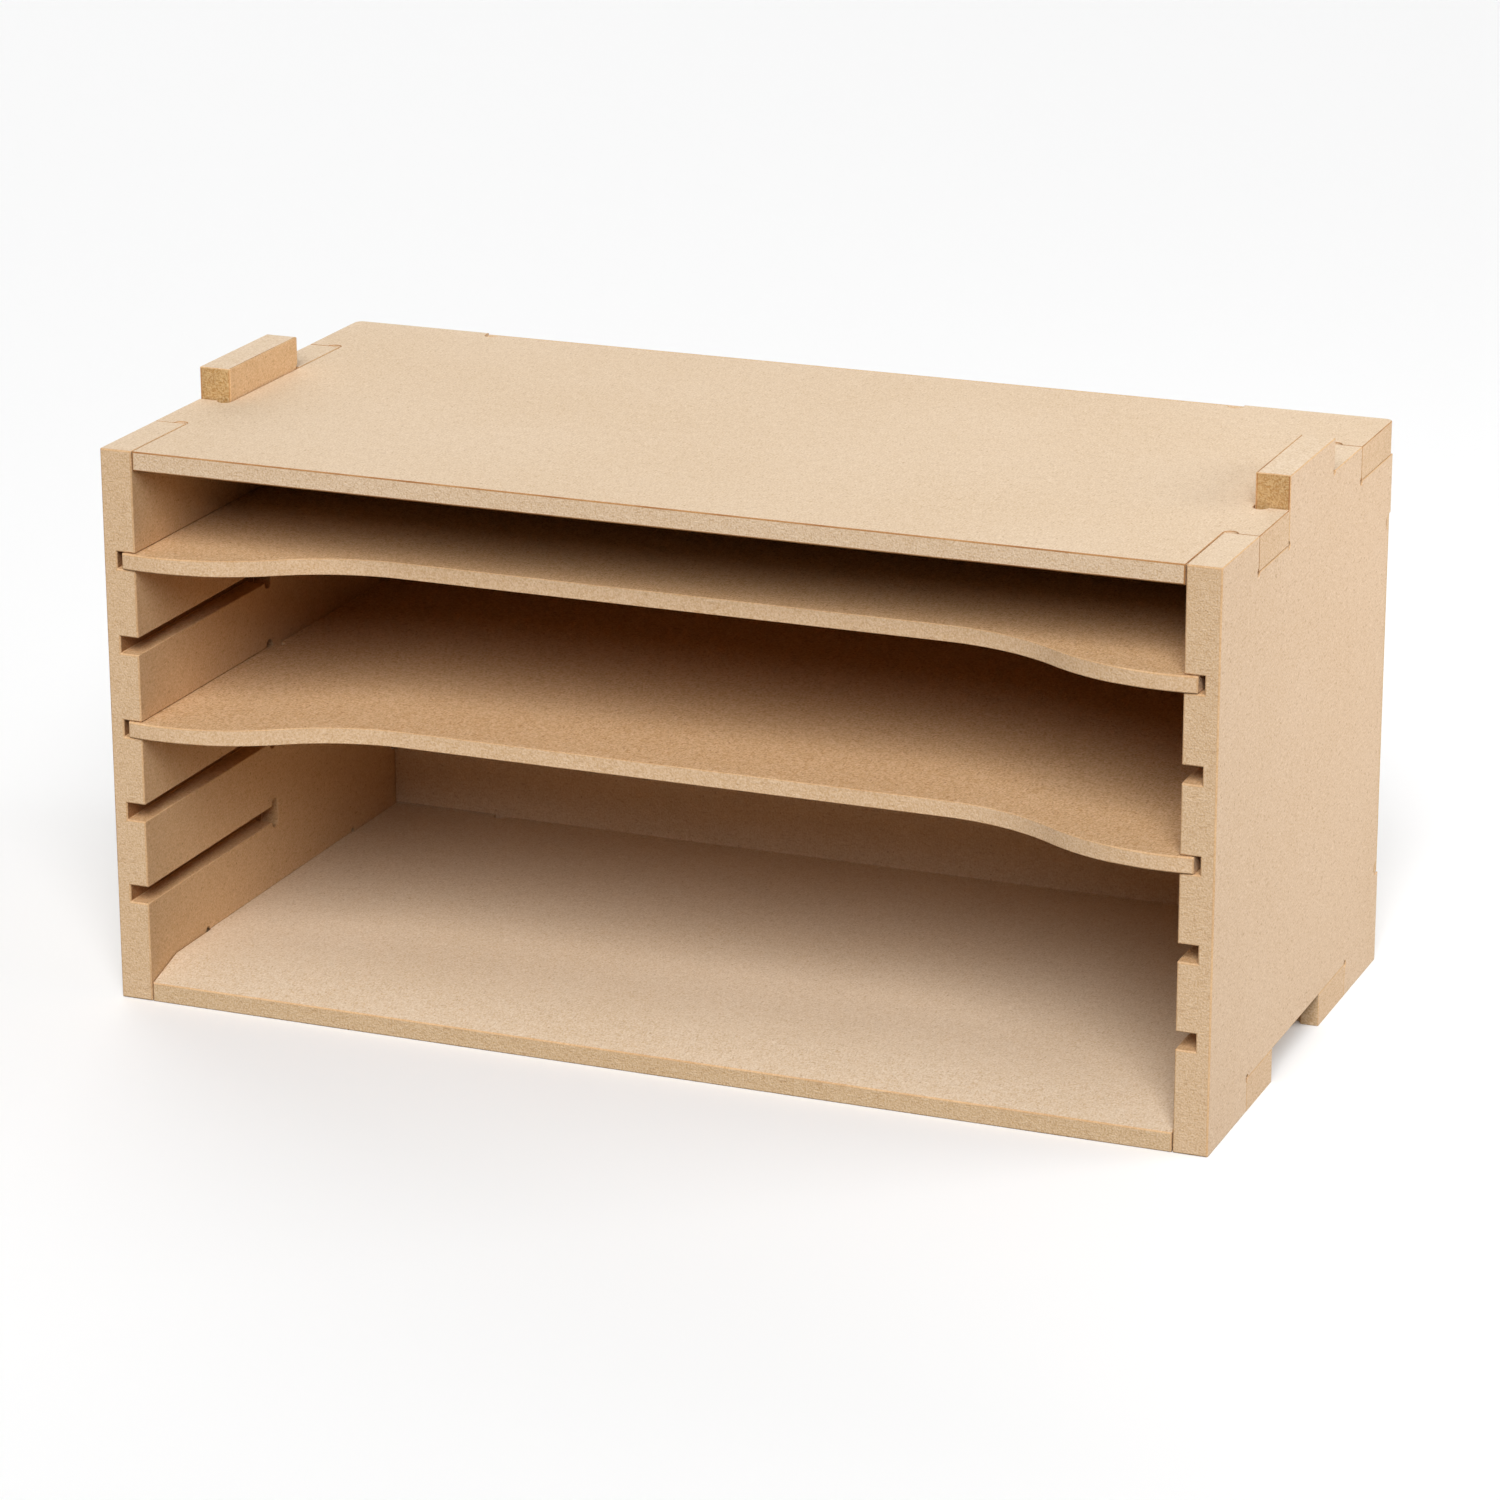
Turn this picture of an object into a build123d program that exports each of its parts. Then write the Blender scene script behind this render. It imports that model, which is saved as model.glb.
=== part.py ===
from build123d import *

import os
from math import acos, cos, sin, sqrt

# Stackable storage case for a model maker's bench, cut from flat fibreboard.
#
# Two sides, a top, a bottom and a thin back key together with square fingers. Two loose
# shelves slide from the front into grooves in the sides. A tall tab on each side stands
# above the top and enters the recess under the case stacked on it.
#
# Millimetres. +Z is up, the open front faces -Y, and the origin is under the middle of the
# whole object, on the surface it stands on.

# Overall case, without the tall tabs
width = 400.0
depth = 200.0
height = 200.0

# Board stock
board_t = 12.0
shelf_t = 5.8
panel_t = 3.0

# Fingers along the top edge of each side, measured front to back
corner_len = 40.0
stack_tab_len = 52.0

# Fingers along the bottom edge of each side
front_foot_len = 43.0
rear_foot_len = 40.0

# Back panel keys: how far each one stops from the corners of the case
top_key_inset = 54.0
side_key_inset = 33.5
key_short = 0.5

# Thinned front edge of the top and bottom boards
lip_h = 6.8
bevel_run = 18.0

# Shelf grooves in the sides
groove_count = 5
groove_deep = 7.0
groove_len = 100.0

# Shelf outline; the crest of the wave is measured from the inner face of the side
shelf_levels = {"upper_shelf": 0, "lower_shelf": 2}
wave_r = 75.0
crest_in = 6.0
crest_out = 1.2
wave_deep = 24.0

# Clearances; a tall tab stops below the floor of the case stacked on it
fit_gap = 0.2
stack_gap = 2.0
stack_top_gap = 0.5
panel_gap = 0.4
groove_rest_gap = 0.1
groove_top_gap = 0.2
ear_gap = 2.0
ear_end_gap = 0.5
shelf_side_gap = 1.0
shelf_back_gap = 0.5

# Cutter marks in the inside corners, and the softened corners of the top
bone_r = 2.5
nick_r = 1.3
corner_r = 3.0

# Places worked out from the sizes above
inner_x = width / 2 - board_t
tab_top = height + board_t - stack_top_gap
front_y = -(depth - crest_out) / 2
panel_front = depth - panel_t

tab_front = (depth - stack_tab_len) / 2
tab_rear = (depth + stack_tab_len) / 2
rear_corner = depth - corner_len
recess_front = tab_front - stack_gap
recess_rear = tab_rear + stack_gap
rear_foot = depth - rear_foot_len

top_key_x = width / 2 - top_key_inset
side_key_low = side_key_inset
side_key_high = height - side_key_inset

groove_h = shelf_t + groove_rest_gap + groove_top_gap
groove_pitch = (height - 2 * board_t + groove_h) / (groove_count + 1)


def groove_floor(level):
    """Height of a groove's lower face; level 0 is the highest groove."""
    return board_t + (groove_count - level) * groove_pitch - groove_h


def floor_plan(z):
    """Horizontal drawing plane at height z: X across, Y measured back from the front."""
    return Plane(origin=(0, front_y, z), x_dir=(1, 0, 0), z_dir=(0, 0, 1))


def side_plan(x):
    """Upright drawing plane at x, normal +X: first axis back from the front, second up."""
    return Plane(origin=(x, front_y, 0), x_dir=(0, 1, 0), z_dir=(1, 0, 0))


def save(builder, label):
    """Name a finished piece and write it to its own file."""
    builder.part.label = label
    export_step(builder.part, f"parts/{label}.step")


os.makedirs("parts", exist_ok=True)

# Left side: outline with its fingers, five blind shelf grooves in the inner face
with BuildPart() as left_side:
    with BuildSketch(side_plan(-width / 2)):
        with BuildLine():
            Polyline(
                (0, 0),
                (0, height),
                (corner_len, height),
                (corner_len, height - board_t),
                (tab_front, height - board_t),
                (tab_front, tab_top),
                (tab_rear, tab_top),
                (tab_rear, height),
                (rear_corner, height),
                (rear_corner, height - board_t),
                (depth, height - board_t),
                (depth, side_key_high),
                (panel_front, side_key_high),
                (panel_front, side_key_low),
                (depth, side_key_low),
                (depth, 0),
                (rear_foot, 0),
                (rear_foot, board_t),
                (front_foot_len, board_t),
                (front_foot_len, 0),
                close=True,
            )
        make_face()
        with Locations(
            (corner_len, height - board_t),
            (tab_front, height - board_t),
            (tab_rear, height),
            (rear_corner, height - board_t),
            (rear_foot, board_t),
            (front_foot_len, board_t),
        ):
            Circle(nick_r, mode=Mode.SUBTRACT)
        with Locations(
            (panel_front, side_key_high - bone_r),
            (panel_front, side_key_low + bone_r),
        ):
            Circle(bone_r, mode=Mode.SUBTRACT)
    extrude(amount=board_t)

    with BuildSketch(side_plan(-inner_x)):
        for level in range(groove_count):
            z_low = groove_floor(level)
            with Locations((groove_len / 2, z_low + groove_h / 2)):
                Rectangle(groove_len, groove_h)
            with Locations(
                (groove_len - bone_r, z_low),
                (groove_len - bone_r, z_low + groove_h),
            ):
                Circle(bone_r)
    extrude(amount=-groove_deep, mode=Mode.SUBTRACT)
save(left_side, "left_side")

# Right side: the same board turned over
with BuildPart() as right_side:
    mirror(left_side.part, about=Plane.YZ)
save(right_side, "right_side")


def board_outline(tabs, key_x):
    """Sketch a top or bottom board: body, tabs at both ends and the notch for the back."""
    with Locations((0, depth / 2)):
        Rectangle(2 * inner_x, depth)
    for tab_start, tab_end in tabs:
        with Locations((0, (tab_start + tab_end) / 2)):
            Rectangle(width, tab_end - tab_start)
    with Locations((0, depth - panel_t / 2)):
        Rectangle(2 * key_x, panel_t, mode=Mode.SUBTRACT)
    with Locations((key_x - bone_r, panel_front), (bone_r - key_x, panel_front)):
        Circle(bone_r, mode=Mode.SUBTRACT)
    shoulder_x = inner_x + bone_r
    for shoulder_y in (y for tab in tabs for y in tab if y < depth):
        with Locations((shoulder_x, shoulder_y), (-shoulder_x, shoulder_y)):
            Circle(bone_r, mode=Mode.SUBTRACT)


# Top board: tabs between the fingers, underside thinned to the front lip
top_tabs = (
    (corner_len + fit_gap, tab_front - fit_gap),
    (rear_corner + fit_gap, depth),
)
with BuildPart() as top_board:
    with BuildSketch(floor_plan(height - board_t)):
        board_outline(top_tabs, top_key_x)
    extrude(amount=board_t)
    rear_edges = top_board.edges().filter_by(Axis.Z).group_by(Axis.Y)[-1].sort_by(Axis.X)
    fillet([rear_edges[0], rear_edges[-1]], corner_r)
    with BuildSketch(side_plan(-inner_x)):
        with BuildLine():
            Polyline(
                (0, height - board_t),
                (bevel_run, height - board_t),
                (0, height - lip_h),
                close=True,
            )
        make_face()
    extrude(amount=2 * inner_x, mode=Mode.SUBTRACT)
save(top_board, "top_board")

# Bottom board: tabs beside the open stacking recesses, upper face thinned to the front lip
bottom_tabs = (
    (front_foot_len + fit_gap, recess_front),
    (recess_rear, rear_foot - fit_gap),
)
with BuildPart() as bottom_board:
    with BuildSketch(floor_plan(0)):
        board_outline(bottom_tabs, top_key_x)
    extrude(amount=board_t)
    with BuildSketch(side_plan(-inner_x)):
        with BuildLine():
            Polyline((0, board_t), (bevel_run, board_t), (0, lip_h), close=True)
        make_face()
    extrude(amount=2 * inner_x, mode=Mode.SUBTRACT)
save(bottom_board, "bottom_board")

# Back panel: fills the opening, its keys lie in the rear notches of the four boards
with BuildPart() as back_panel:
    with BuildSketch(Plane.XZ.offset(-(front_y + depth))):
        with Locations((0, height / 2)):
            Rectangle(2 * (inner_x - panel_gap), height - 2 * (board_t + panel_gap))
            Rectangle(2 * (top_key_x - panel_gap), height - 2 * key_short)
            Rectangle(width - 2 * key_short, side_key_high - side_key_low - 2 * panel_gap)
    extrude(amount=panel_t)
save(back_panel, "back_panel")

# Shelves: waved front, ears that run in the grooves, narrower rear that reaches the back
crest_x = inner_x - crest_in
ear_x = inner_x + groove_deep - ear_gap
ear_end = groove_len - ear_end_gap
rear_x = inner_x - shelf_side_gap
shelf_back = panel_front - shelf_back_gap
wave_turn = acos(1 - (wave_deep + crest_out) / (2 * wave_r))
flat_x = crest_x - 2 * wave_r * sin(wave_turn)
inflexion = (crest_x - wave_r * sin(wave_turn), wave_r * (1 - cos(wave_turn)) - crest_out)
hollow_mid = (
    flat_x + wave_r * sin(wave_turn / 2),
    wave_deep - wave_r * (1 - cos(wave_turn / 2)),
)
ear_front = wave_r - sqrt(wave_r**2 - (ear_x - crest_x) ** 2) - crest_out

for label, level in shelf_levels.items():
    with BuildPart() as shelf:
        with BuildSketch(floor_plan(groove_floor(level) + groove_rest_gap)):
            with BuildLine():
                Line((0, wave_deep), (flat_x, wave_deep))
                ThreePointArc((flat_x, wave_deep), hollow_mid, inflexion)
                ThreePointArc(inflexion, (crest_x, -crest_out), (ear_x, ear_front))
                Polyline(
                    (ear_x, ear_front),
                    (ear_x, ear_end),
                    (rear_x, ear_end),
                    (rear_x, shelf_back),
                    (0, shelf_back),
                )
                mirror(about=Plane.YZ)
            make_face()
            with Locations((rear_x, ear_end + bone_r), (-rear_x, ear_end + bone_r)):
                Circle(bone_r, mode=Mode.SUBTRACT)
        extrude(amount=shelf_t)
    save(shelf, label)
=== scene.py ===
from math import acos, cos, pi, radians, sin

import bmesh
import bpy
from mathutils import Matrix, Vector


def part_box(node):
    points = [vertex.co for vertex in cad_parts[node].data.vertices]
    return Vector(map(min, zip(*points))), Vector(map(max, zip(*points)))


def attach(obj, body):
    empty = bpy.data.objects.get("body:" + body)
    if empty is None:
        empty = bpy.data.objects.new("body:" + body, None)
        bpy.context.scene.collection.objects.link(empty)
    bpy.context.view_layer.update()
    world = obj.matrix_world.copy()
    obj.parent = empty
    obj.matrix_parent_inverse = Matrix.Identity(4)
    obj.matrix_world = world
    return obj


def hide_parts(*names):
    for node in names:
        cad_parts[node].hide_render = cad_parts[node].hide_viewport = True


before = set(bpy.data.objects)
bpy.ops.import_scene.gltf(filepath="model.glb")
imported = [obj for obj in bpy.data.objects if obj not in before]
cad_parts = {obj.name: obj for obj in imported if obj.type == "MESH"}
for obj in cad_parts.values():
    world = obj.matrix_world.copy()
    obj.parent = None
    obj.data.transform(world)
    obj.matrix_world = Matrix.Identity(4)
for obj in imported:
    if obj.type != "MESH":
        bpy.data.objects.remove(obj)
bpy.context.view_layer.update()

# ---------------------------------------------------------------------------------------
# Side boards. Two pieces of raw 12 mm fibreboard routed to the same outline, the right one
# turned over. Fingers key into the top and bottom boards, the tall middle finger enters the
# case stacked above, and a row of blind grooves in the inner face carries the shelves.
# ---------------------------------------------------------------------------------------
MM = 0.001
BOARD = 12 * MM
NICK = 1.3 * MM         # radius of the small cutter mark at the foot of a finger
BONE = 2.5 * MM         # radius of the bit that cuts grooves, notches and shoulders
FACET = 0.65 * MM       # length of one flat round a cutter mark
SEAT = 0.2 * MM         # play under a board that rests between two fingers
ARRIS = 0.6 * MM        # width of an eased arris
SHORT = MM / 2          # an arris shorter than this stays sharp
SHARP = radians(40)     # and so does a corner blunter than this
FLAT = 0.95             # a face this squarely across the thickness is a broad one
FACING = 0.9            # and one this squarely along a direction looks that way
MERGE = 0.01 * MM       # points this close become one

side_low, side_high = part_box("right_side")
front = side_low.y
depth = side_high.y - front
half_width = side_high.x
inner = half_width - BOARD
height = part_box("top_board")[1].z
tall_tab_top = side_high.z
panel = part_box("back_panel")[1].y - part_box("back_panel")[0].y

corner_finger = 40 * MM
tall_tab = (74 * MM, 126 * MM)
rear_finger = 160 * MM
front_foot = 43 * MM
rear_foot = 160 * MM
side_key = (33.5 * MM, height - 33.5 * MM)


def routed(corners):
    """Outline points, with the round mark a router bit leaves in an inside corner.

    A corner is (across, along), or (across, along, mark, radius). The mark's centre is "on"
    the corner, or one radius "before" or "after" it along the edge.
    """
    outline = []
    for i, (across, along, *mark) in enumerate(corners):
        corner = Vector((across, along))
        if not mark:
            outline.append(corner)
            continue
        place, radius = mark
        came = (corner - Vector(corners[i - 1][:2])).normalized()
        goes = (Vector(corners[(i + 1) % len(corners)][:2]) - corner).normalized()
        centre = corner + {"on": 0 * came, "before": -came, "after": goes}[place] * radius
        spoke = (-goes if place == "after" else -came) * radius
        sweep = (1.5 if place == "on" else 1.0) * pi
        turn = 1 if came.cross(goes) > 0 else -1
        steps = round(sweep * radius / FACET)
        for step in range(steps + 1):
            outline.append(centre + Matrix.Rotation(turn * sweep * step / steps, 2) @ spoke)
    return outline


def sort_faces(mesh, through):
    """Give cut edges the second material; through is the direction across the board."""
    for polygon in mesh.polygons:
        if polygon.material_index < 2:
            polygon.material_index = 0 if abs(polygon.normal.dot(through)) > FLAT else 1


def cut_board(name, outline, place, thickness, materials):
    """A board sawn to an outline: broad faces in the first material, cut edges in the second.

    place gives the point for a distance across, along and into the board.
    """
    bm = bmesh.new()
    broad = bm.faces.new([bm.verts.new(place(a, b, 0)) for a, b in outline])
    raised = bmesh.ops.extrude_face_region(bm, geom=[broad])["geom"]
    through = Vector(place(0, 0, thickness)) - Vector(place(0, 0, 0))
    bmesh.ops.translate(
        bm, vec=through, verts=[v for v in raised if isinstance(v, bmesh.types.BMVert)]
    )
    bmesh.ops.remove_doubles(bm, verts=bm.verts, dist=MERGE)
    bmesh.ops.recalc_face_normals(bm, faces=bm.faces)
    mesh = bpy.data.meshes.new(name)
    bm.to_mesh(mesh)
    bm.free()
    for material in materials:
        mesh.materials.append(material)
    piece = bpy.data.objects.new(name, mesh)
    bpy.context.scene.collection.objects.link(piece)
    sort_faces(mesh, through.normalized())
    return piece


def ease(piece, width=ARRIS, inner_share=0.5):
    """Take the sharpness off every arris, most of all along the front.

    The eased strip takes the third material. inner_share is how much of the width the
    arrises away from the front get. The tiny facets of a cutter mark stay sharp.
    """
    mesh = piece.data
    mesh.shade_smooth()
    mesh.set_sharp_from_angle(angle=SHARP)
    bm = bmesh.new()
    bm.from_mesh(mesh)
    easing = bm.edges.layers.float.new("bevel_weight_edge")
    for edge in bm.edges:
        if not edge.is_manifold or edge.calc_face_angle() < SHARP or edge.calc_length() < SHORT:
            continue
        at_front = all(v.co.y < front + MM for v in edge.verts)
        edge[easing] = 1.0 if at_front else inner_share
    bm.to_mesh(mesh)
    bm.free()
    softened = piece.modifiers.new("eased arris", "BEVEL")
    softened.width = width
    softened.segments = 3
    softened.limit_method = "WEIGHT"
    softened.material = ARRIS_SLOT
    softened.harden_normals = True
    softened.use_clamp_overlap = False


def put(tree, kind, inputs=None, **settings):
    """Add a node to a tree; an input is a value or another node's output."""
    made = tree.nodes.new(kind)
    for key, value in settings.items():
        setattr(made, key, value)
    for key, value in (inputs or {}).items():
        if isinstance(value, bpy.types.NodeSocket):
            tree.links.new(value, made.inputs[key])
        else:
            made.inputs[key].default_value = value
    return made


def figured(tree, operation, *values):
    """One step of arithmetic in a tree."""
    return put(tree, "ShaderNodeMath", dict(enumerate(values)), operation=operation).outputs[0]


def tan(red, green, blue):
    """A paint-card colour, 0 to 255, as the linear colour a shader takes."""
    def linear(c):
        c /= 255
        return c / 12.92 if c <= 0.04045 else ((c + 0.055) / 1.055) ** 2.4
    return (linear(red), linear(green), linear(blue), 1)


SWING = 0.4                 # the furthest the mottle goes from the body colour
WARMTH = (0.65, 1.0, 1.6)   # and the share of it that red, green and blue take
BROWNED = tan(150, 96, 52)


def fibreboard(name, body, fibre=1.0, speck=1.0, relief=0.05, scorch=0.0):
    """Raw fibreboard: a clouded body colour with fine pale and dark fibres and a few specks.

    fibre and speck are how strongly they show, relief is their depth in millimetres, and
    scorch is how far patches of it go towards burnt brown.
    """
    material = bpy.data.materials.new(name)
    material.use_nodes = True
    tree = material.node_tree
    shader = tree.nodes["Principled BSDF"]
    place = put(tree, "ShaderNodeTexCoord").outputs["Object"]

    def noise(scale, detail, turned=None, stretched=None):
        spot = place
        if turned:
            spot = put(
                tree, "ShaderNodeMapping", {"Vector": place, "Rotation": turned, "Scale": stretched}
            ).outputs["Vector"]
        return put(
            tree, "ShaderNodeTexNoise", {"Vector": spot, "Scale": scale, "Detail": detail}
        ).outputs["Fac"]

    def between(value, low, high, to_low=0.0, to_high=1.0):
        return put(tree, "ShaderNodeMapRange", {
            "Value": value, "From Min": low, "From Max": high, "To Min": to_low, "To Max": to_high
        }).outputs["Result"]

    def mixed(factor, first, second):
        return put(
            tree, "ShaderNodeMix", {0: factor, 6: first, 7: second}, data_type="RGBA"
        ).outputs[2]

    def toned(*shares):
        return tuple(min(c * share, 0.95) for c, share in zip(body, shares)) + (1,)

    pale = toned(1.16, 1.22, 1.32)
    dark = toned(0.62, 0.5, 0.4)
    light = toned(*(1 + SWING * way for way in WARMTH))
    deep = toned(*(1 - SWING * way for way in WARMTH))

    clouds = between(noise(scale=14, detail=2), 0.35, 0.65, -0.022, 0.022)
    mottle = between(noise(scale=240, detail=3), 0.3, 0.7, -0.03, 0.03)
    grain = between(noise(scale=1600, detail=3), 0.3, 0.7, -0.12 * fibre, 0.12 * fibre)
    shade = figured(tree, "ADD", figured(tree, "ADD", clouds, mottle), grain)
    colour = mixed(between(shade, -SWING, SWING), deep, light)

    along = noise(scale=1900, detail=1, turned=(0.2, 0.5, 0.35), stretched=(1, 0.22, 0.6))
    across = noise(scale=2000, detail=1, turned=(0.9, 0.1, 1.25), stretched=(0.22, 1, 0.6))
    strongest = figured(tree, "MAXIMUM", along, across)
    weakest = figured(tree, "MINIMUM", along, across)
    pale_fibres = between(strongest, 0.6, 0.8, 0, 0.5 * fibre)
    dark_fibres = between(weakest, 0.4, 0.2, 0, 0.3 * fibre)
    colour = mixed(pale_fibres, colour, pale)
    colour = mixed(dark_fibres, colour, dark)

    cells = put(tree, "ShaderNodeTexVoronoi", {"Vector": place, "Scale": 420.0}).outputs
    chosen = put(tree, "ShaderNodeSeparateColor", {"Color": cells["Color"]}).outputs[0]
    size = between(chosen, 1 - 0.4 * speck, 1.0, 0.0, 0.2)
    outside = figured(tree, "SUBTRACT", cells["Distance"], size)
    specks = between(outside, -0.04, 0.0, 0.6 * speck, 0.0)
    colour = mixed(specks, colour, dark)
    if scorch:
        patches = between(noise(scale=40, detail=2), 0.36, 0.62, 0.25 * scorch, scorch)
        colour = mixed(patches, colour, BROWNED)

    tree.links.new(colour, shader.inputs["Base Color"])
    tree.links.new(between(grain, -0.1, 0.1, 0.97, 0.86), shader.inputs["Roughness"])
    shader.inputs["Specular IOR Level"].default_value = 0.2
    surface = figured(
        tree, "ADD",
        figured(tree, "MULTIPLY", grain, 4.0),
        figured(tree, "SUBTRACT", pale_fibres, dark_fibres),
    )
    bump = put(
        tree, "ShaderNodeBump", {"Strength": 0.5, "Distance": relief * MM, "Height": surface}
    )
    tree.links.new(bump.outputs["Normal"], shader.inputs["Normal"])
    return material


side_face = fibreboard("side board face", tan(225, 196, 165), fibre=1.5)
# The inner face is warmer and darker than the outer face of the same board: painted shade and
# bounce colour from inside the case.
shaded_inner_face = fibreboard("side board inner face, painted shade", tan(224, 187, 144), fibre=1.5)
side_cut = fibreboard(
    "side board cut edge", tan(221, 188, 150), fibre=1.7, speck=0.6, relief=0.12
)
# The upward-facing cut edges of the sides, the tops of the fingers, take a paler, less warm tone:
# painted overhead light.
lit_finger_top = fibreboard("finger top, painted overhead light", tan(224, 200, 171), fibre=1.4, speck=0.6, relief=0.08)
worn = fibreboard("worn arris", tan(222, 184, 140), fibre=1.4, speck=0.0, scorch=0.22)
burnt = fibreboard("burnt arris", tan(204, 158, 106), fibre=1.4, speck=0.0, scorch=0.85)
# The groove walls are darker than the other cut edges: painted shade of the narrow slots, with some
# burn.
shaded_groove_wall = fibreboard("groove wall, painted shade and burn", tan(206, 166, 122), fibre=2.0, speck=0.6, relief=0.12)
# The groove beds, the blind walls at the bottom of the grooves, are darker still: painted shade,
# with patches of router burn.
shaded_groove_bed = fibreboard(
    "groove bed, painted shade and burn", tan(172, 130, 90), fibre=2.0, speck=0.4, relief=0.12, scorch=0.2
)
scorched = fibreboard(
    "scorched tab front", tan(197, 162, 112), fibre=2.8, speck=0.6, relief=0.12, scorch=0.22
)
SIDE_STOCK = (
    side_face, side_cut, worn, lit_finger_top, scorched, shaded_inner_face, burnt, shaded_groove_wall, shaded_groove_bed
)
FACE, EDGE, ARRIS_SLOT, LIT_TOP, SCORCHED, SHADED_INNER, CHARRED = range(7)

side_outline = routed([
    (0, 0),
    (0, height),
    (corner_finger, height),
    (corner_finger, height - BOARD - SEAT, "on", NICK),
    (tall_tab[0], height - BOARD - SEAT, "on", NICK),
    (tall_tab[0], tall_tab_top),
    (tall_tab[1], tall_tab_top),
    (tall_tab[1], height, "on", NICK),
    (rear_finger, height),
    (rear_finger, height - BOARD - SEAT, "on", NICK),
    (depth, height - BOARD - SEAT),
    (depth, side_key[1]),
    (depth - panel, side_key[1], "after", BONE),
    (depth - panel, side_key[0], "before", BONE),
    (depth, side_key[0]),
    (depth, 0),
    (rear_foot, 0),
    (rear_foot, BOARD, "on", NICK),
    (front_foot, BOARD, "on", NICK),
    (front_foot, 0),
])


def new_tree(name, kinds):
    """A tree with a geometry output, and the sockets that its named inputs come in by."""
    tree = bpy.data.node_groups.new(name, "GeometryNodeTree")
    for kind, labels in kinds.items():
        for label in labels:
            tree.interface.new_socket(label, in_out="INPUT", socket_type="NodeSocket" + kind)
    tree.interface.new_socket("Geometry", in_out="OUTPUT", socket_type="NodeSocketGeometry")
    return tree, tree.nodes.new("NodeGroupInput").outputs


def vector(tree, across=0.0, back=0.0, up=0.0):
    """A vector put together in a tree."""
    return put(tree, "ShaderNodeCombineXYZ", {0: across, 1: back, 2: up}).outputs[0]


def taken_apart(tree, value):
    """The three numbers of a vector in a tree."""
    return put(tree, "ShaderNodeSeparateXYZ", {0: value}).outputs


def moved(tree, shape, to, turn=(0, 0, 0)):
    """A shape put somewhere else in a tree."""
    return put(
        tree, "GeometryNodeTransform", {"Geometry": shape, "Translation": to, "Rotation": turn}
    ).outputs[0]


def joined(tree, *shapes):
    """Several shapes in a tree as one."""
    together = put(tree, "GeometryNodeJoinGeometry")
    for shape in shapes:
        tree.links.new(shape, together.inputs[0])
    return together.outputs[0]


def given_material(tree, shape, material, where=True):
    """A shape in a tree with a material on the faces where it belongs."""
    return put(
        tree, "GeometryNodeSetMaterial",
        {"Geometry": shape, "Selection": where, "Material": material},
    ).outputs[0]


BIT_SIDES = 24
QUARTER_TURN = radians(90)
GROOVES = 5
groove_length = 100 * MM
groove_depth = 7 * MM
groove_height = 6.1 * MM
groove_pitch = (height - 2 * BOARD + groove_height) / (GROOVES + 1)

groove_tree, given = new_tree("shelf grooves", {
    "Geometry": ("Geometry",),
    "Int": ("Grooves",),
    "Float": ("Pitch", "Bit radius"),
    "Vector": ("Groove size", "Lowest groove"),
    "Material": ("Shaded wall", "Shaded bed"),
})
groove_deep, groove_long, groove_high = taken_apart(groove_tree, given["Groove size"])
slot_cut = put(groove_tree, "GeometryNodeMeshCube", {"Size": given["Groove size"]}).outputs["Mesh"]
bit = put(
    groove_tree, "GeometryNodeMeshCylinder",
    {"Vertices": BIT_SIDES, "Radius": given["Bit radius"], "Depth": groove_deep},
).outputs["Mesh"]
half_long = figured(groove_tree, "MULTIPLY", groove_long, 0.5)
bit_high = figured(groove_tree, "MULTIPLY", groove_high, 0.5)
bit_low = figured(groove_tree, "MULTIPLY", bit_high, -1.0)
bit_back = figured(groove_tree, "SUBTRACT", half_long, given["Bit radius"])
cutter = joined(groove_tree, slot_cut, *(
    moved(groove_tree, bit, vector(groove_tree, 0.0, bit_back, bit_up), (0, QUARTER_TURN, 0))
    for bit_up in (bit_high, bit_low)
))
row = put(
    groove_tree, "GeometryNodeMeshLine",
    {"Count": given["Grooves"], "Start Location": given["Lowest groove"],
     "Offset": vector(groove_tree, up=given["Pitch"])},
    mode="OFFSET",
).outputs["Mesh"]
cutters = put(
    groove_tree, "GeometryNodeInstanceOnPoints", {"Points": row, "Instance": cutter}
).outputs[0]
cutters = put(groove_tree, "GeometryNodeRealizeInstances", {0: cutters}).outputs[0]
# The cutters carry the darker groove-wall material into the cut: painted shade.
cutters = given_material(groove_tree, cutters, given["Shaded wall"])
grooved = put(
    groove_tree, "GeometryNodeMeshBoolean",
    {"Mesh 1": given["Geometry"], "Mesh 2": cutters, "Self Intersection": True},
    operation="DIFFERENCE", solver="EXACT",
).outputs["Mesh"]
grooved = put(groove_tree, "GeometryNodeRealizeInstances", {0: grooved}).outputs[0]
# Faces inside a groove that look across the board are its bed; they take the darker painted-shade
# material.
in_groove = put(
    groove_tree, "GeometryNodeMaterialSelection", {"Material": given["Shaded wall"]}
).outputs[0]
looks = taken_apart(groove_tree, put(groove_tree, "GeometryNodeInputNormal").outputs[0])
looks_across = figured(groove_tree, "ABSOLUTE", looks[0])
is_shaded_bed = figured(
    groove_tree, "GREATER_THAN", figured(groove_tree, "MULTIPLY", in_groove, looks_across), FACING
)
grooved = given_material(groove_tree, grooved, given["Shaded bed"], is_shaded_bed)
groove_tree.links.new(grooved, groove_tree.nodes.new("NodeGroupOutput").inputs[0])


def set_inputs(modifier, values):
    """Set a tree's named inputs on its modifier."""
    for item in modifier.node_group.interface.items_tree:
        if item.in_out == "INPUT" and item.name in values:
            modifier[item.identifier] = values[item.name]


SLIVER = 0.08 * MM      # points this close, left by a cut, become one
BEND = radians(0.5)     # and so do faces that meet as flatly as this


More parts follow.
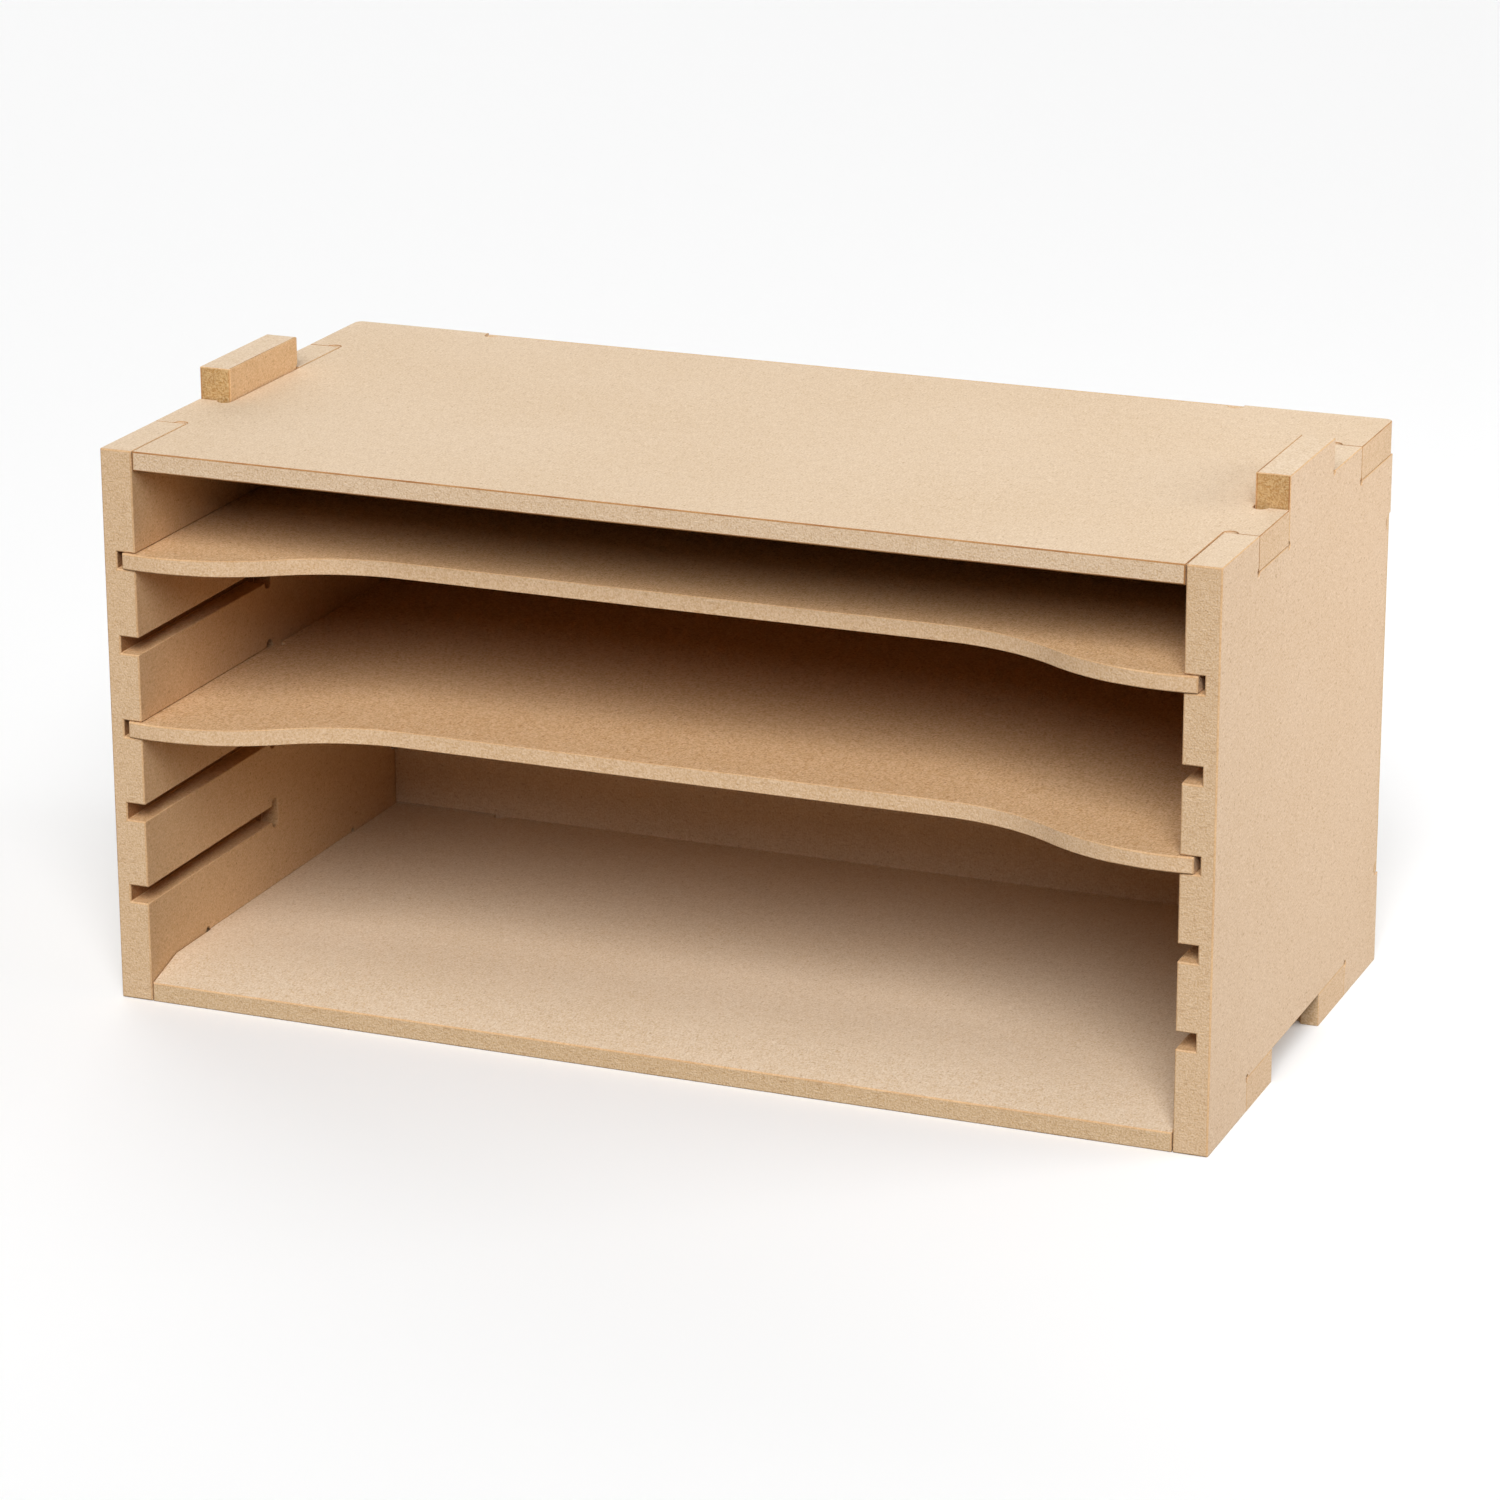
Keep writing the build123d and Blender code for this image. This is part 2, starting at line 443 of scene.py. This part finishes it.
def settle(piece):
    """Turn the piece with its live tree into a plain, clean mesh without it."""
    view = bpy.context.evaluated_depsgraph_get()
    mesh = bpy.data.meshes.new_from_object(piece.evaluated_get(view), depsgraph=view)
    mesh.name = piece.name
    piece.modifiers.clear()
    piece.data = mesh
    bm = bmesh.new()
    bm.from_mesh(mesh)
    bmesh.ops.remove_doubles(bm, verts=bm.verts, dist=SLIVER)
    bmesh.ops.dissolve_limit(
        bm, angle_limit=BEND, verts=bm.verts, edges=bm.edges, delimit={"MATERIAL"}
    )
    bm.to_mesh(mesh)
    bm.free()
    return mesh


RIM = 1 * MM


def char_rims(mesh):
    """Burn narrow strips into the tall tab: both sides of its front, the inner side of its top."""
    bm = bmesh.new()
    bm.from_mesh(mesh)
    fronts = [f for f in bm.faces if f.material_index == SCORCHED]
    tops = [f for f in bm.faces if f.material_index == LIT_TOP and f.verts[0].co.z > height + MM]
    for strip in bmesh.ops.inset_individual(bm, faces=fronts + tops, thickness=RIM)["faces"]:
        centre = strip.calc_center_median()
        at_inner = abs(centre.x) < inner + MM
        at_outer = abs(centre.x) > half_width - MM
        if at_inner or (at_outer and centre.y < front + tall_tab[0] + MM):
            strip.material_index = CHARRED
    bm.to_mesh(mesh)
    bm.free()


OVERRUN = 1 * MM    # how far a cutter stands out of the board where a groove is open
for hand, name in ((-1, "left_side"), (1, "right_side")):
    side = cut_board(
        name + "_board", side_outline,
        lambda back, up, into: (hand * (half_width - into), front + back, up),
        BOARD, SIDE_STOCK,
    )
    routing = side.modifiers.new("shelf grooves", "NODES")
    routing.node_group = groove_tree
    set_inputs(routing, {
        "Grooves": GROOVES,
        "Pitch": groove_pitch,
        "Groove size": (groove_depth + OVERRUN, groove_length + OVERRUN, groove_height),
        "Lowest groove": (
            hand * (inner + (groove_depth - OVERRUN) / 2),
            front + (groove_length - OVERRUN) / 2,
            BOARD + groove_pitch - groove_height / 2,
        ),
        "Bit radius": BONE,
        "Shaded wall": shaded_groove_wall,
        "Shaded bed": shaded_groove_bed,
    })
    settle(side)
    for polygon in side.data.polygons:
        # Broad faces turned into the case take the painted-shade inner tone.
        if polygon.material_index == FACE and polygon.normal.x * hand < 0:
            polygon.material_index = SHADED_INNER
        elif polygon.material_index == EDGE:
            at_tab = abs(polygon.center.y - front - tall_tab[0]) < NICK / 2
            # Cut edges facing up get the paler tone of painted overhead light.
            if polygon.normal.z > FACING:
                polygon.material_index = LIT_TOP
            elif at_tab and polygon.normal.y < -FACING:
                polygon.material_index = SCORCHED
    char_rims(side.data)
    ease(side)
    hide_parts(name)
    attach(side, "case")

# ---------------------------------------------------------------------------------------
# Top and bottom boards. Raw 12 mm fibreboard with end tabs that drop between the fingers
# of the sides. The front edge of each is planed thin on the inner side, and a shallow notch
# along the rear edge takes the key of the back panel.
# ---------------------------------------------------------------------------------------
TAB_END = 3             # slot of the material on the ends of the tabs
LINE = 0.45 * MM        # width of the eased arris
FIT = 0.2 * MM          # gap between a tab and the finger beside it
TIGHT = 0.05 * MM       # the same behind the top's front finger, a hairline
SLACK = 0.6 * MM        # the same in front of the tall finger, where it is widest
END_GAP = 0.35 * MM     # gap between the board's end and the side
SEAL = 0.6 * MM         # reach of the bottom board under the sides
lip = 6.8 * MM
planed_run = 18 * MM
top_key = half_width - 54 * MM
rear_corner_round = 3 * MM
stack_recess = (72 * MM, 128 * MM)


def mirrored(half):
    """A half outline, given from the middle of the front to the middle of the rear, made whole."""
    flipped = {"before": "after", "after": "before"}
    other = [(-x, y, *([flipped[m[0]], m[1]] if m else ())) for x, y, *m in reversed(half)]
    return routed(half + other)


def end_tabs(tabs, recess=0.0):
    """Corners of the right-hand end of a board, front to rear, with its tabs.

    recess is how far the board's end reaches under the side between the tabs.
    """
    shoulder = inner - END_GAP
    between_tabs = inner + recess if recess else shoulder
    corners = [(shoulder, 0)]
    for i, (start, end) in enumerate(tabs):
        root = between_tabs if i else shoulder
        corners += [(root, start, "after", BONE), (half_width, start), (half_width, end)]
        if end < depth:
            root = between_tabs if i + 1 < len(tabs) else shoulder
            corners.append((root, end, "before", BONE))
    if corners[-1][1] < depth:
        corners.append((shoulder, depth))
    return corners


def rounded_end(corners):
    """The same corners with the last, the outer rear one, rounded."""
    across, along = corners[-1]
    arc = [
        (
            across - rear_corner_round * (1 - cos(radians(a))),
            along - rear_corner_round * (1 - sin(radians(a))),
        )
        for a in range(0, 91, 15)
    ]
    return corners[:-1] + arc


key_notch = [(top_key, depth), (top_key, depth - panel, "after", BONE)]
top_half = rounded_end(
    end_tabs([(corner_finger + TIGHT, tall_tab[0] - SLACK), (rear_finger + FIT, depth)])
) + key_notch
bottom_half = end_tabs(
    [(front_foot + FIT, stack_recess[0]), (stack_recess[1], rear_foot - FIT)], recess=SEAL
) + key_notch

top_face = fibreboard("top board face", tan(222, 197, 167), fibre=1.5)
bottom_face = fibreboard("bottom board face", tan(217, 194, 166), fibre=1.6)
top_cut = fibreboard(
    "top board cut edge", tan(224, 195, 162), fibre=1.8, speck=0.6, relief=0.1
)
tab_end = fibreboard("tab end", tan(223, 191, 156), fibre=1.7, speck=0.6, relief=0.1)
bottom_cut = fibreboard(
    "bottom board cut edge", tan(216, 184, 145), fibre=2.0, speck=0.6, relief=0.12
)

for name, half, underside, planed, finish in (
    ("top_board", top_half, height - BOARD, -1, (top_face, top_cut, burnt, tab_end)),
    ("bottom_board", bottom_half, 0, 1, (bottom_face, bottom_cut, worn, tab_end)),
):
    board = cut_board(
        name + "_panel", mirrored(half),
        lambda across, back, up: (across, front + back, underside + up),
        BOARD, finish,
    )
    bm = bmesh.new()
    bm.from_mesh(board.data)
    planed_from = underside + (BOARD if planed > 0 else 0)
    sliced = bmesh.ops.bisect_plane(
        bm, geom=bm.verts[:] + bm.edges[:] + bm.faces[:], dist=MERGE / 10,
        plane_co=(0, front + planed_run, planed_from),
        plane_no=Vector((0, lip - BOARD, planed * planed_run)).normalized(),
        clear_outer=True,
    )
    rim = [e for e in sliced["geom_cut"] if isinstance(e, bmesh.types.BMEdge)]
    bmesh.ops.contextual_create(bm, geom=rim)
    bmesh.ops.recalc_face_normals(bm, faces=bm.faces)
    bm.to_mesh(board.data)
    bm.free()
    sort_faces(board.data, Vector((0, 0, 1)))
    for polygon in board.data.polygons:
        if abs(polygon.normal.x) > FACING and abs(polygon.center.x) > half_width - MM:
            polygon.material_index = TAB_END
    ease(board, LINE)
    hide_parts(name)
    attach(board, "case")

# ---------------------------------------------------------------------------------------
# Back panel. Thin fibreboard sheet that closes the rear; its wide keys lie in the shallow
# notches along the rear edges of the four boards, where they are glued.
# ---------------------------------------------------------------------------------------
panel_gap = 0.4 * MM
key_short = 0.5 * MM
middle = height / 2
upper_right = [
    (half_width - key_short, middle - side_key[0] - panel_gap),
    (inner - panel_gap, middle - side_key[0] - panel_gap),
    (inner - panel_gap, middle - BOARD - panel_gap),
    (top_key - panel_gap, middle - BOARD - panel_gap),
    (top_key - panel_gap, middle - key_short),
]
upper = upper_right + [(-x, z) for x, z in reversed(upper_right)]
back_outline = upper + [(-x, -z) for x, z in upper]
back = cut_board(
    "back_panel_sheet", back_outline,
    lambda across, up, into: (across, front + depth - into, middle + up),
    panel, (side_face, side_cut, worn),
)
ease(back, ARRIS / 3)
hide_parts("back_panel")
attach(back, "case")

# ---------------------------------------------------------------------------------------
# Loose shelves. Thin fibreboard with a waved front: two equal arcs fall from the full depth
# near each end to a straight hollow in the middle, where the fingers reach in. Ears at the
# front half run in the grooves; behind them the shelf is cut narrower to clear the sides.
# ---------------------------------------------------------------------------------------
WAVE_STEPS = 240
wave_radius = 75 * MM
wave_depth = 24 * MM
crest_proud = 1.2 * MM
crest = inner - 6 * MM
ear_end = 99.5 * MM
rear_half = inner - 1 * MM

shelf_tree, given = new_tree("waved shelf", {
    "Float": (
        "Ear half width", "Rear half width", "Ear end", "Rear end", "Wave radius", "Wave depth",
        "Crest across", "Crest proud", "Hollow across", "Turning point", "Thickness", "Bit radius",
    ),
    "Vector": ("Corner",),
    "Int": ("Steps",),
    "Material": ("Face", "Edge"),
})


def step(operation, *values):
    """One step of arithmetic in the shelf's tree."""
    return figured(shelf_tree, operation, *values)


def arc_drop(radius, across):
    """How far a circle falls away from its tangent at a distance across."""
    inside = step("SUBTRACT", step("POWER", radius, 2.0), step("POWER", across, 2.0))
    return step("SUBTRACT", radius, step("SQRT", step("MAXIMUM", inside, 0.0)))


# A strip across the shelf whose front row follows the wave, raised to the board's thickness
strip = put(
    shelf_tree, "GeometryNodeMeshGrid",
    {"Size X": step("MULTIPLY", given["Ear half width"], 2.0), "Size Y": 1.0,
     "Vertices X": given["Steps"], "Vertices Y": 2},
).outputs["Mesh"]
point = taken_apart(shelf_tree, put(shelf_tree, "GeometryNodeInputPosition").outputs[0])
reach = step("ABSOLUTE", point[0])
into_hollow = step("MAXIMUM", step("SUBTRACT", reach, given["Hollow across"]), 0.0)
hollow_line = step("SUBTRACT", given["Wave depth"], arc_drop(given["Wave radius"], into_hollow))
from_crest = step("SUBTRACT", reach, given["Crest across"])
crest_line = step("SUBTRACT", arc_drop(given["Wave radius"], from_crest), given["Crest proud"])
past_turn = step("GREATER_THAN", reach, given["Turning point"])
front_line = step(
    "ADD", hollow_line, step("MULTIPLY", past_turn, step("SUBTRACT", crest_line, hollow_line))
)
back_share = step("ADD", point[1], 0.5)
along_line = step(
    "ADD", front_line,
    step("MULTIPLY", back_share, step("SUBTRACT", given["Ear end"], front_line)),
)
waved = put(
    shelf_tree, "GeometryNodeSetPosition",
    {"Geometry": strip, "Position": vector(shelf_tree, point[0], along_line)},
).outputs[0]
raised = put(
    shelf_tree, "GeometryNodeExtrudeMesh",
    {"Mesh": waved, "Offset": vector(shelf_tree, up=1.0), "Offset Scale": given["Thickness"],
     "Individual": False},
).outputs["Mesh"]
under = put(shelf_tree, "GeometryNodeFlipFaces", {0: waved}).outputs[0]
slab = put(
    shelf_tree, "GeometryNodeMergeByDistance",
    {"Geometry": joined(shelf_tree, raised, under), "Distance": MERGE},
).outputs[0]

# The narrower rear, and the round marks where it meets the ears
rear_length = step("SUBTRACT", given["Rear end"], given["Ear end"])
rear_size = vector(
    shelf_tree,
    step("MULTIPLY", given["Rear half width"], 2.0),
    step("ADD", rear_length, OVERRUN),
    given["Thickness"],
)
ends_apart = step("ADD", given["Rear end"], given["Ear end"])
rear_place = vector(
    shelf_tree,
    back=step("MULTIPLY", step("SUBTRACT", ends_apart, OVERRUN), 0.5),
    up=step("MULTIPLY", given["Thickness"], 0.5),
)
rear_block = put(shelf_tree, "GeometryNodeMeshCube", {"Size": rear_size}).outputs["Mesh"]
rear_block = moved(shelf_tree, rear_block, rear_place)
whole = put(shelf_tree, "GeometryNodeMeshBoolean", operation="UNION", solver="EXACT")
shelf_tree.links.new(slab, whole.inputs["Mesh 2"])
shelf_tree.links.new(rear_block, whole.inputs["Mesh 2"])

shelf_bit = put(
    shelf_tree, "GeometryNodeMeshCylinder",
    {"Vertices": BIT_SIDES, "Radius": given["Bit radius"],
     "Depth": step("MULTIPLY", given["Thickness"], 3.0)},
).outputs["Mesh"]
bit_back = step("ADD", given["Ear end"], given["Bit radius"])
bits = joined(shelf_tree, *(
    moved(
        shelf_tree, shelf_bit,
        vector(shelf_tree, step("MULTIPLY", given["Rear half width"], end), bit_back),
    )
    for end in (1.0, -1.0)
))
relieved = put(
    shelf_tree, "GeometryNodeMeshBoolean", {"Mesh 1": whole.outputs["Mesh"], "Mesh 2": bits},
    operation="DIFFERENCE", solver="EXACT",
).outputs["Mesh"]
seated = moved(shelf_tree, relieved, given["Corner"])
seated = put(shelf_tree, "GeometryNodeRealizeInstances", {0: seated}).outputs[0]
looks = taken_apart(shelf_tree, put(shelf_tree, "GeometryNodeInputNormal").outputs[0])
is_edge = step("LESS_THAN", step("ABSOLUTE", looks[2]), FLAT)
faced = given_material(shelf_tree, seated, given["Face"])
edged = given_material(shelf_tree, faced, given["Edge"], is_edge)
shelf_tree.links.new(edged, shelf_tree.nodes.new("NodeGroupOutput").inputs[0])

shelf_face = fibreboard("shelf face", tan(212, 174, 131), fibre=2.8, speck=1.6)
shelf_cut = fibreboard("shelf cut edge", tan(222, 188, 150), fibre=1.6, speck=0.6, relief=0.1)
wave_turn = acos(1 - (wave_depth + crest_proud) / (2 * wave_radius))
for name in ("upper_shelf", "lower_shelf"):
    low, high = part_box(name)
    shelf = bpy.data.objects.new(name + "_board", bpy.data.meshes.new(name))
    bpy.context.scene.collection.objects.link(shelf)
    shaping = shelf.modifiers.new("waved shelf", "NODES")
    shaping.node_group = shelf_tree
    set_inputs(shaping, {
        "Ear half width": high.x,
        "Rear half width": rear_half,
        "Ear end": ear_end,
        "Rear end": high.y - front,
        "Wave radius": wave_radius,
        "Wave depth": wave_depth,
        "Crest across": crest,
        "Crest proud": crest_proud,
        "Hollow across": crest - 2 * wave_radius * sin(wave_turn),
        "Turning point": crest - wave_radius * sin(wave_turn),
        "Thickness": high.z - low.z,
        "Bit radius": BONE,
        "Corner": (0, front, low.z),
        "Steps": WAVE_STEPS,
        "Face": shelf_face,
        "Edge": shelf_cut,
    })
    mesh = settle(shelf)
    mesh.materials.clear()
    for material in (shelf_face, shelf_cut, worn):
        mesh.materials.append(material)
    for polygon in mesh.polygons:
        polygon.material_index = 0
    sort_faces(mesh, Vector((0, 0, 1)))
    ease(shelf)
    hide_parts(name)
    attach(shelf, name)

# ---------------------------------------------------------------------------------------
# Bench, light and camera. A plain pale floor under a soft white sky, and three broad soft
# lights: one high in front, one behind on the left, and a smaller one near the right side.
# ---------------------------------------------------------------------------------------
FLOOR_REACH = 9
FLOOR_SEEN = (0.93, 0.93, 0.93, 1)
FLOOR_BOUNCE = (0.1, 0.095, 0.09, 1)

floor_mesh = bpy.data.meshes.new("floor")
floor_mesh.from_pydata(
    [(x * FLOOR_REACH, y * FLOOR_REACH, 0) for x, y in ((-1, -1), (1, -1), (1, 1), (-1, 1))],
    [], [(0, 1, 2, 3)],
)
floor = bpy.data.objects.new("floor", floor_mesh)
bpy.context.scene.collection.objects.link(floor)
floor_paint = bpy.data.materials.new("pale floor")
floor_paint.use_nodes = True
floor_shader = floor_paint.node_tree.nodes["Principled BSDF"]
floor_shader.inputs["Roughness"].default_value = 0.9
floor_shader.inputs["Specular IOR Level"].default_value = 0.1
seen = put(floor_paint.node_tree, "ShaderNodeLightPath").outputs["Is Camera Ray"]
floor_tone = put(
    floor_paint.node_tree, "ShaderNodeMix", {0: seen, 6: FLOOR_BOUNCE, 7: FLOOR_SEEN},
    data_type="RGBA",
).outputs[2]
floor_paint.node_tree.links.new(floor_tone, floor_shader.inputs["Base Color"])
floor_mesh.materials.append(floor_paint)

surround = bpy.data.worlds.new("studio")
surround.use_nodes = True
sky = surround.node_tree
upwards = taken_apart(sky, put(sky, "ShaderNodeTexCoord").outputs["Generated"])[2]
overhead = put(
    sky, "ShaderNodeMapRange", {"Value": upwards, "From Min": 0.2, "To Min": 0.01, "To Max": 0.29}
).outputs["Result"]
seen = put(sky, "ShaderNodeLightPath").outputs["Is Camera Ray"]
backdrop = sky.nodes["Background"]
sky.links.new(figured(sky, "MAXIMUM", overhead, seen), backdrop.inputs["Strength"])
backdrop.inputs["Color"].default_value = (1, 1, 1, 1)
bpy.context.scene.world = surround

front_box = bpy.data.lights.new("front softbox", "SUN")
front_box.energy = 3.4
front_box.angle = radians(40)
rear_box = bpy.data.lights.new("rear softbox", "SUN")
rear_box.energy = 2.0
rear_box.angle = radians(50)
side_box = bpy.data.lights.new("right softbox", "AREA")
side_box.shape = "SQUARE"
side_box.size = 0.6
side_box.energy = 4.6
for lamp, stands, aims in (
    (front_box, (0.3, -1.0, 0.9), (0, 0, 0)),
    (rear_box, (-0.75, 1.0, 0.2), (0, 0, 0)),
    (side_box, (0.9, 0.14, 0.31), (half_width, 0, height / 2)),
):
    light = bpy.data.objects.new(lamp.name, lamp)
    light.location = stands
    light.rotation_mode = "QUATERNION"
    light.rotation_quaternion = (Vector(stands) - Vector(aims)).to_track_quat("Z", "Y")
    bpy.context.scene.collection.objects.link(light)

CAMERA_STANDS = (0.6650, -1.6369, 0.6639)
CAMERA_TURN, CAMERA_DIP, CAMERA_ROLL = 22.141, 18.126, -0.147

lens = bpy.data.cameras.new("camera")
lens.sensor_width = 36
lens.lens = 127.1
lens.clip_start = 0.05
lens.clip_end = 50
camera = bpy.data.objects.new("camera", lens)
camera.matrix_world = (
    Matrix.Translation(CAMERA_STANDS)
    @ Matrix.Rotation(radians(CAMERA_TURN), 4, "Z")
    @ Matrix.Rotation(radians(90 - CAMERA_DIP), 4, "X")
    @ Matrix.Rotation(radians(CAMERA_ROLL), 4, "Z")
)
bpy.context.scene.collection.objects.link(camera)
bpy.context.scene.camera = camera
bpy.context.scene.view_settings.view_transform = "Standard"
